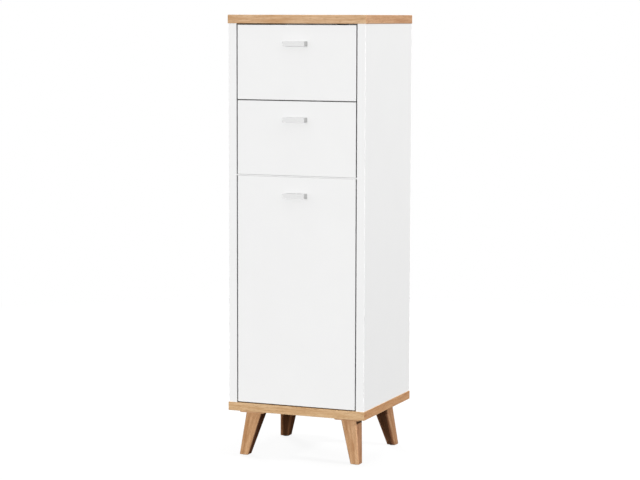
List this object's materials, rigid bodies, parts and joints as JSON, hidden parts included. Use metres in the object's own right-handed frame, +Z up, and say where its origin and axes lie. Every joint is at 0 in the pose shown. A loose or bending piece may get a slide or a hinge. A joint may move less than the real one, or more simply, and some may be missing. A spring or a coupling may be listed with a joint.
{
  "type": "bathroom side cabinet",
  "caption": "Tall bathroom side cabinet: white body between oak-finish top and base on splayed tapered legs, drawers on roller runners above a hinged cupboard door.",
  "frame": {"origin": "on the floor, in the middle of the outside box, handles included", "axes": "+Z up, +X to the right of someone facing the cabinet, front towards -Y"},
  "size_m": [0.38, 0.356, 1.1475],
  "materials": {
    "white_board": "matt white melamine on chipboard",
    "oak_board": "oak-pattern melamine on chipboard",
    "oak_solid": "solid oak, clear matt lacquer",
    "white_fibreboard": "white painted fibreboard",
    "white_plastic": "matt white plastic",
    "glide_plastic": "pale plastic",
    "satin_metal": "satin pale metal",
    "white_steel": "white powder coat on bent sheet",
    "nylon": "natural nylon",
    "zinc_steel": "zinc plated",
    "zinc_cast": "zinc casting",
    "nickel_steel": "nickel plated",
    "beech": "plain beech"
  },
  "bodies": {
    "cabinet": {"adjustable_shelf": "white_board", "back_panel": "white_fibreboard", "base_panel": "oak_board", "cabinet_screws": "zinc_steel", "cam_bolts": "zinc_steel", "cam_locks": "zinc_cast", "divider_strip": "white_plastic", "door_stops": "white_plastic", "fixed_shelf": "white_board", "foot_glides": "glide_plastic", "hinge_arms": "nickel_steel", "hinge_plates": "nickel_steel", "left_side": "white_board", "leg_bolts": "zinc_steel", "leg_front_left": "oak_solid", "leg_front_right": "oak_solid", "leg_plates": "oak_solid", "leg_rear_left": "oak_solid", "leg_rear_right": "oak_solid", "lower_drawer_rail_left": "white_steel", "lower_drawer_rail_right": "white_steel", "right_side": "white_board", "shelf_pins": "nickel_steel", "top_panel": "oak_board", "upper_drawer_rail_left": "white_steel", "upper_drawer_rail_right": "white_steel", "wall_bracket": "zinc_steel", "wood_dowels": "beech"},
    "upper_drawer": {"upper_drawer_back": "white_board", "upper_drawer_bottom": "white_fibreboard", "upper_drawer_cams": "zinc_cast", "upper_drawer_front": "white_board", "upper_drawer_handle": "satin_metal", "upper_drawer_left_side": "white_board", "upper_drawer_right_side": "white_board", "upper_drawer_runner_left": "white_steel", "upper_drawer_runner_right": "white_steel", "upper_drawer_screws": "zinc_steel"},
    "lower_drawer": {"lower_drawer_back": "white_board", "lower_drawer_bottom": "white_fibreboard", "lower_drawer_cams": "zinc_cast", "lower_drawer_front": "white_board", "lower_drawer_handle": "satin_metal", "lower_drawer_left_side": "white_board", "lower_drawer_right_side": "white_board", "lower_drawer_runner_left": "white_steel", "lower_drawer_runner_right": "white_steel", "lower_drawer_screws": "zinc_steel"},
    "door": {"door_handle": "satin_metal", "door_panel": "white_board", "door_screws": "zinc_steel", "hinge_cups": "nickel_steel", "hinge_pins": "nickel_steel"},
    "lower_drawer_front_rollers": {"lower_drawer_front_rollers": "nylon"},
    "lower_drawer_rear_rollers": {"lower_drawer_rear_rollers": "nylon"},
    "upper_drawer_front_rollers": {"upper_drawer_front_rollers": "nylon"},
    "upper_drawer_rear_rollers": {"upper_drawer_rear_rollers": "nylon"}
  },
  "joints": [
    {"name": "upper_drawer_slide", "type": "slide", "parent": "cabinet", "child": "upper_drawer", "axis": [0, -1, 0], "range_m": [0, 0.225]},
    {"name": "lower_drawer_slide", "type": "slide", "parent": "cabinet", "child": "lower_drawer", "axis": [0, -1, 0], "range_m": [0, 0.225]},
    {"name": "door_hinge", "type": "hinge", "parent": "cabinet", "child": "door", "pos_m": [-0.1432, -0.1495, 0.44103], "axis": [0, 0, -1], "range_deg": [0, 95]},
    {"name": "upper_drawer_front_roller_spin", "type": "hinge", "parent": "cabinet", "child": "upper_drawer_front_rollers", "pos_m": [0, -0.1305, 0.958], "axis": [1, 0, 0], "range_deg": [0, 1800]},
    {"name": "upper_drawer_rear_roller_spin", "type": "hinge", "parent": "upper_drawer", "child": "upper_drawer_rear_rollers", "pos_m": [0, 0.1365, 0.9563], "axis": [1, 0, 0], "range_deg": [0, 1800]},
    {"name": "lower_drawer_front_roller_spin", "type": "hinge", "parent": "cabinet", "child": "lower_drawer_front_rollers", "pos_m": [0, -0.1305, 0.7655], "axis": [1, 0, 0], "range_deg": [0, 1800]},
    {"name": "lower_drawer_rear_roller_spin", "type": "hinge", "parent": "lower_drawer", "child": "lower_drawer_rear_rollers", "pos_m": [0, 0.1365, 0.7638], "axis": [1, 0, 0], "range_deg": [0, 1800]}
  ],
  "couplings": [
    {"joint": "upper_drawer_front_roller_spin", "follows": "upper_drawer_slide", "rad_per_m": 133.33},
    {"joint": "upper_drawer_rear_roller_spin", "follows": "upper_drawer_slide", "rad_per_m": 133.33},
    {"joint": "lower_drawer_front_roller_spin", "follows": "lower_drawer_slide", "rad_per_m": 133.33},
    {"joint": "lower_drawer_rear_roller_spin", "follows": "lower_drawer_slide", "rad_per_m": 133.33}
  ]
}
